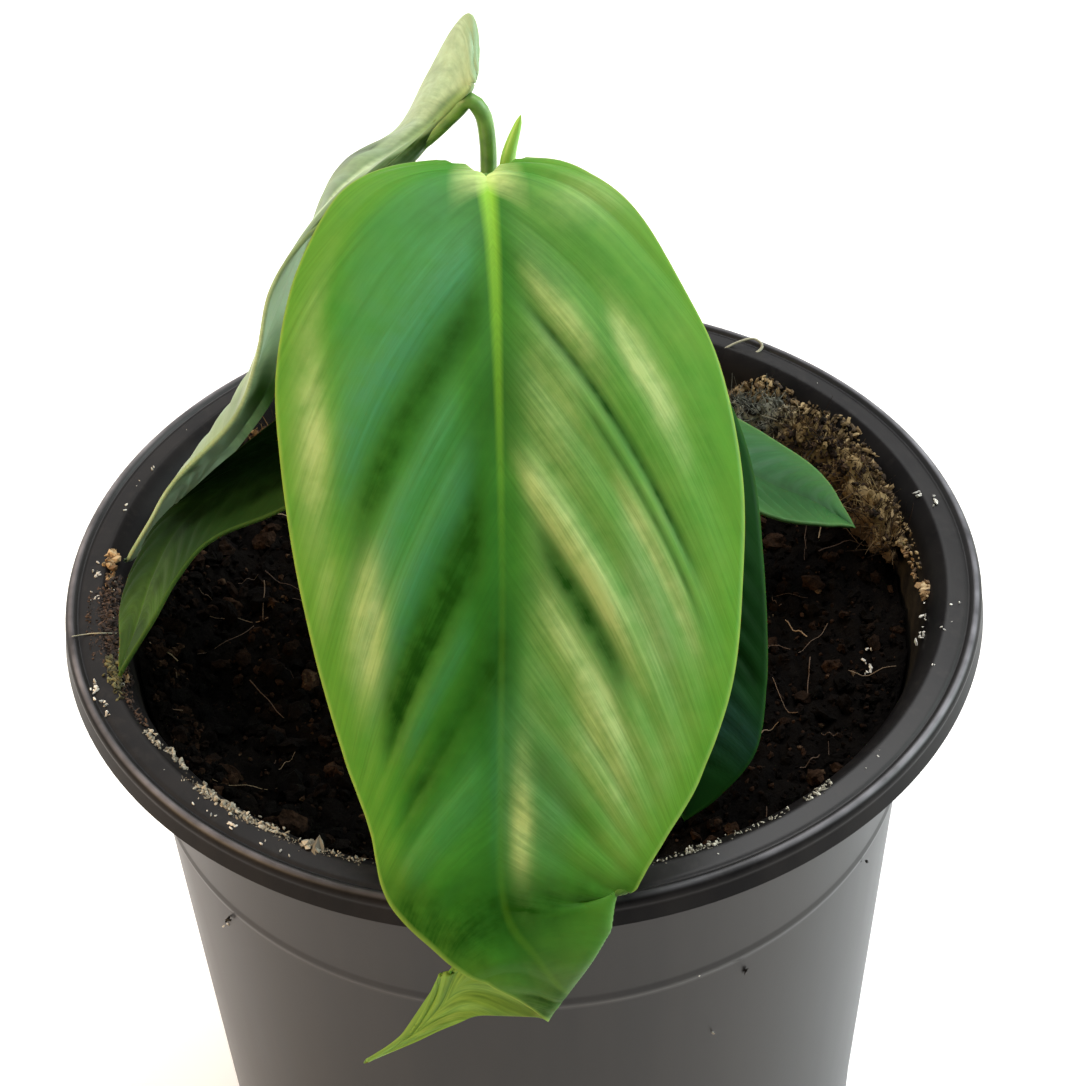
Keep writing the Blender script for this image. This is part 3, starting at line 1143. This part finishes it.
def moss_material(name, tone=None):
    """Dried sphagnum: matt, dark brown in its gaps, tan along its ridge and grey at its left
    end; its tone is a number, or None for one that changes from strand to strand."""
    made, tree = new_material(name)
    where = add(tree, "TexCoord").outputs["Object"]
    east, north, height = add(tree, "SeparateXYZ", {0: where}).outputs
    if tone is None:
        tone = add(tree, "NewGeometry").outputs["Random Per Island"]
    patches = add(tree, "TexNoise", {"Vector": where, "Scale": 1 / (3.5 * mm), "Detail": 6,
                  "Roughness": 0.7})
    blend = add(tree, "Mix", {0: 0.4, 2: patches, 3: tone})
    brown, tan, grey = (add(tree, "ValToRGB", {0: blend}, shades) for shades in (
        [(0.3, "#0b0805"), (0.85, "#6c5b46"), (0.48, "#221a12"), (0.62, "#3f3224")],
        [(0.3, "#150f08"), (0.84, "#a8946c"), (0.46, "#33241a"), (0.62, "#65502f")],
        [(0.3, "#1a1a16"), (0.8, "#9a9a8a"), (0.5, "#55564e")]))
    ridge = add(tree, "MapRange", {0: height, 1: rim_height - 7 * mm, 2: rim_height - 3 * mm})
    bearing = add(tree, "Math", {0: north, 1: east}, operation="DIVIDE")
    left_end = add(tree, "MapRange", {0: bearing, 1: 0.8, 2: 0.95})
    tint = brown
    for amount, shade in ((ridge, tan), (left_end, grey)):
        tint = add(tree, "Mix", {0: amount, 6: tint, 7: shade}, data_type="RGBA").outputs[2]
    shader = add(tree, "BsdfPrincipled", {"Base Color": tint, "Roughness": 0.85,
                 "Specular IOR Level": 0.2})
    add(tree, "OutputMaterial", {0: shader})
    return made


loose_moss = moss_material("loose_dried_sphagnum")
for name, roll, rings, clumps, hairs in (("mound", moss_mound, 90, 1300, 1900),
                                         ("tuft", moss_tuft, 24, 110, 200)):
    packed_moss = moss_material("packed_dried_sphagnum_" + name, roll["tone"])
    show("moss_" + name + "_core", moss_core(name + "_core", roll, rings), packed_moss,
         ["dry_moss_" + name])
    show("moss_" + name + "_clumps", moss_clumps(name + "_clumps", roll, clumps), loose_moss).data.shade_flat()
    show("moss_" + name + "_strands", moss_strands(name + "_strands", roll, hairs), loose_moss)


# Crumbs left on the rim and the walls: a cream crust of dried salts along the inner edge,
# white grit, peat and moss bits, chips of bark and two dry roots. They lie loose or cling.
def grains(name, arcs):
    """Grains on the pot; an arc is (from, to in degrees, count, radius, depth, sizes)."""
    heap = bmesh.new()
    for start, stop, count, radius, depth, sizes in arcs:
        for _ in range(count):
            size = dice.triangular(sizes[0], sizes[1], sizes[0])
            angle = math.radians(dice.uniform(start, stop))
            reach = radius + dice.gauss(0, 0.35)
            place = Vector((reach * math.cos(angle), reach * math.sin(angle), rim_height / mm - depth))
            place.z += dice.uniform(-0.1, 0.25) * size
            lay(heap, crumb_lumps, place, size, (dice.uniform(0.8, 2), dice.uniform(0.5, 1), 0.7),
                (dice.gauss(0, 0.6), dice.gauss(0, 0.6), dice.uniform(0, 6.3)))
    return finished(heap, name)


crust_arcs = [
    (-138, -131, 120, 60, 0.05, (0.12, 0.42)), (-131, -124, 110, 59.9, 0.1, (0.12, 0.4)),
    (-124, -112, 70, 59.7, 0.15, (0.1, 0.3)), (-120, -118, 10, 59.9, 0, (0.5, 0.9)),
    (-151, -147, 45, 59.6, 0.15, (0.12, 0.45)), (-147, -142, 70, 58.9, 0.8, (0.15, 0.5)),
    (-112, -100, 25, 59.6, 0.2, (0.1, 0.25)), (-80, -71, 45, 59.7, 0.15, (0.1, 0.28)),
    (-71, -66, 60, 59.8, 0.1, (0.12, 0.36)), (-66, -55, 35, 59.7, 0.15, (0.1, 0.26)),
    (-53, -48, 40, 59.8, 0.1, (0.12, 0.36)), (-185, -160, 90, 59.2, 0.5, (0.1, 0.3)),
    (-141, -112, 260, 60.1, 0.03, (0.05, 0.14)),
]
speck_arcs = [
    (-10.4, -9.6, 2, 61.8, 0, (0.15, 0.25)), (-15.4, -14.6, 2, 60.5, 0, (0.15, 0.25)),
    (-22.4, -21.6, 2, 60.6, 0, (0.12, 0.2)), (12.4, 13.6, 5, 59.9, 0.1, (0.2, 0.4)),
    (10, 12, 8, 61.6, 0, (0.15, 0.4)), (161, 163, 2, 60.7, 0, (0.2, 0.3)),
    (152, 154, 2, 60.8, 0, (0.15, 0.3)), (174, 176, 2, 61.4, 0, (0.2, 0.3)),
    (-138, -120, 14, 62.2, 0.2, (0.15, 0.32)), (-16, -6, 16, 57.4, 2.6, (0.15, 0.4)),
    (-15, -8, 12, 50, 11.4, (0.12, 0.35)), (-180, 180, 26, 61.4, 0.1, (0.06, 0.14)),
    (176.2, 176.8, 3, 61, 0.1, (0.3, 0.45)), (180.5, 181.5, 4, 61, 0.1, (0.15, 0.3)),
    (197, 199, 8, 63, 0.3, (0.2, 0.4)), (200, 204, 8, 63, 0.3, (0.12, 0.35)),
    (-144.2, -143.8, 3, 54.7, 35.9, (0.2, 0.35)), (-67, -66.8, 2, 55.1, 30.4, (0.15, 0.25)),
    (-63.9, -63.7, 2, 54, 45.1, (0.15, 0.25)),
]
peat_arcs = [
    (176, 199, 420, 58.3, 1, (0.15, 0.5)), (177, 198, 420, 59.3, 0.3, (0.12, 0.45)),
    (179, 195, 260, 60.3, 0.1, (0.08, 0.32)), (180, 193, 160, 61.5, 0.2, (0.06, 0.22)),
    (199, 208, 90, 59.4, 0.3, (0.1, 0.35)),
]
moss_arcs = [
    (8, 54, 280, 56.2, 4.8, (0.25, 0.8)), (12, 53, 260, 56.8, 3.9, (0.2, 0.8)),
    (14, 52, 240, 57.4, 2.9, (0.2, 0.75)), (20, 51, 170, 57.9, 2.1, (0.2, 0.7)),
    (24, 40, 70, 58.5, 1.3, (0.2, 0.65)), (43, 50, 45, 58.5, 1.3, (0.2, 0.65)),
    (29, 35, 26, 59.1, 0.7, (0.2, 0.6)), (0, 24, 90, 57.2, 3.2, (0.15, 0.45)),
]
tuft_arcs = [(193.5, 200, 150, 59.9, -0.1, (0.15, 0.5)), (196, 202, 40, 60.3, 0, (0.1, 0.35))]
pit_arcs = [
    (-142.5, -142.3, 2, 54.85, 33.3, (0.3, 0.42)), (-58.8, -58.6, 2, 54.8, 34.2, (0.3, 0.42)),
    (-32.2, -32, 2, 54.95, 31.7, (0.3, 0.42)),
]
bark_arcs = [
    (-6.5, -3.5, 16, 57.2, 2.2, (0.4, 0.8)), (171.5, 175.5, 30, 59.5, 0, (0.35, 0.95)),
    (-168, -161, 34, 58.8, 0.9, (0.2, 0.6)), (176, 180, 26, 59.4, 0.3, (0.15, 0.4)),
    (127, 133, 22, 56.4, 5.5, (0.4, 0.9)), (0, 14, 40, 56.6, 5, (0.2, 0.6)),
]
for name, arcs, real, shades in (
        ("rim_crust", crust_arcs, "dried_salt_crust", "#5a564c #bcb6a6 #8f897a"),
        ("rim_specks", speck_arcs, "white_mineral_grit", "#8d8a85 #eeeae0 #c9c5bb"),
        ("wall_bits", bark_arcs, "dry_bark_chips", "#3a2a1b #c8b088 #8a6a42"),
        ("moss_bits", moss_arcs, "dried_sphagnum_bits", "#21170d #b39c72 #65502f"),
        ("rim_peat", peat_arcs, "dry_peat_dust", "#0e0805 #5a4230 #281a12"),
        ("rim_tuft", tuft_arcs, "olive_moss_bits", "#1c1a0c #77724a #444225"),
        ("wall_pits", pit_arcs, "black_grit", "#0c0a09 #1c1815 #14110f")):
    shades = list(zip((0, 1, 0.5), shades.split()))
    show(name, grains(name, arcs), loose_material(real, shades, 0.8)).data.shade_flat()
thread = centripetal([(25, 47, -5), (28.5, 49.2, -2.2), (32, 50.3, -0.6), (35, 51, 0.6),
                      (37.4, 51.2, 0.9), (38.6, 50.3, 0.2), (37.6, 49.3, -0.4), (36, 49.2, -0.6)], 40)
across_rim = centripetal([(-63.7, -9.4, 0.1), (-61.4, -8.8, -0.1), (-59.6, -9.3, 0.4),
                          (-57.6, -8.4, -0.6)], 16)
threads = [tapered(thread, [0.24] * len(thread)), tapered(across_rim, [0.1] * len(across_rim))]
pale_root = loose_material("pale_dry_root", [(0, "#a3a089"), (1, "#a3a089")], 0.6)
show("dry_root", strands("dry_root", threads), pale_root)


# The studio: a white table, a bright room all round that is dimmer on the camera's side,
# and soft lights above. None of it belongs to the object.
floor_mesh = bmesh.new()
bmesh.ops.create_circle(floor_mesh, cap_ends=True, segments=64, radius=1.5,
                        matrix=Matrix.Translation((0, 0, -0.0003)))
floor = bpy.data.objects.new("table", finished(floor_mesh, "table"))
bpy.context.collection.objects.link(floor)
table_top, tree = new_material("white_table_top")
shader = add(tree, "BsdfPrincipled", {"Base Color": linear("#f4f4f4"), "Roughness": 0.7,
             "Emission Color": linear("#ffffff"), "Emission Strength": 0.28})
add(tree, "OutputMaterial", {0: shader})
floor.data.materials.append(table_top)

room = bpy.data.worlds.new("room")
room.use_nodes = True
tree = room.node_tree
tree.nodes.clear()
direction = add(tree, "TexCoord").outputs["Generated"]
depth = add(tree, "SeparateXYZ", {0: direction}).outputs["Y"]
level = add(tree, "MapRange", {0: depth, 1: -0.9, 2: 0.1, 3: 0.2, 4: 0.7})
lit = add(tree, "Background", {0: linear("#ffffff"), 1: level})
plain = add(tree, "Background", {0: linear("#ffffff"), 1: 1.0})
seen = add(tree, "LightPath").outputs["Is Camera Ray"]
shown = add(tree, "MixShader", {0: seen, 1: lit, 2: plain})
add(tree, "OutputWorld", {0: shown})
bpy.context.scene.world = room

for name, place, size, power, tint in (("light_above", (0.2, 0.3, 0.95), 0.7, 7.5, "#ffffff"),
                                       ("light_left", (-0.9, -0.3, 0.5), 0.6, 10, "#ffd49c"),
                                       ("light_right", (0.9, 0.1, 0.45), 0.6, 10, "#e6f4f2")):
    lamp = bpy.data.lights.new(name, "AREA")
    lamp.size = size
    lamp.energy = power
    lamp.color = linear(tint)[:3]
    holder = bpy.data.objects.new(name, lamp)
    aim = (rim_top - Vector(place)).to_track_quat("-Z", "Y").to_matrix().to_4x4()
    holder.matrix_world = Matrix.Translation(place) @ aim
    bpy.context.collection.objects.link(holder)
bpy.context.scene.view_settings.view_transform = "Standard"
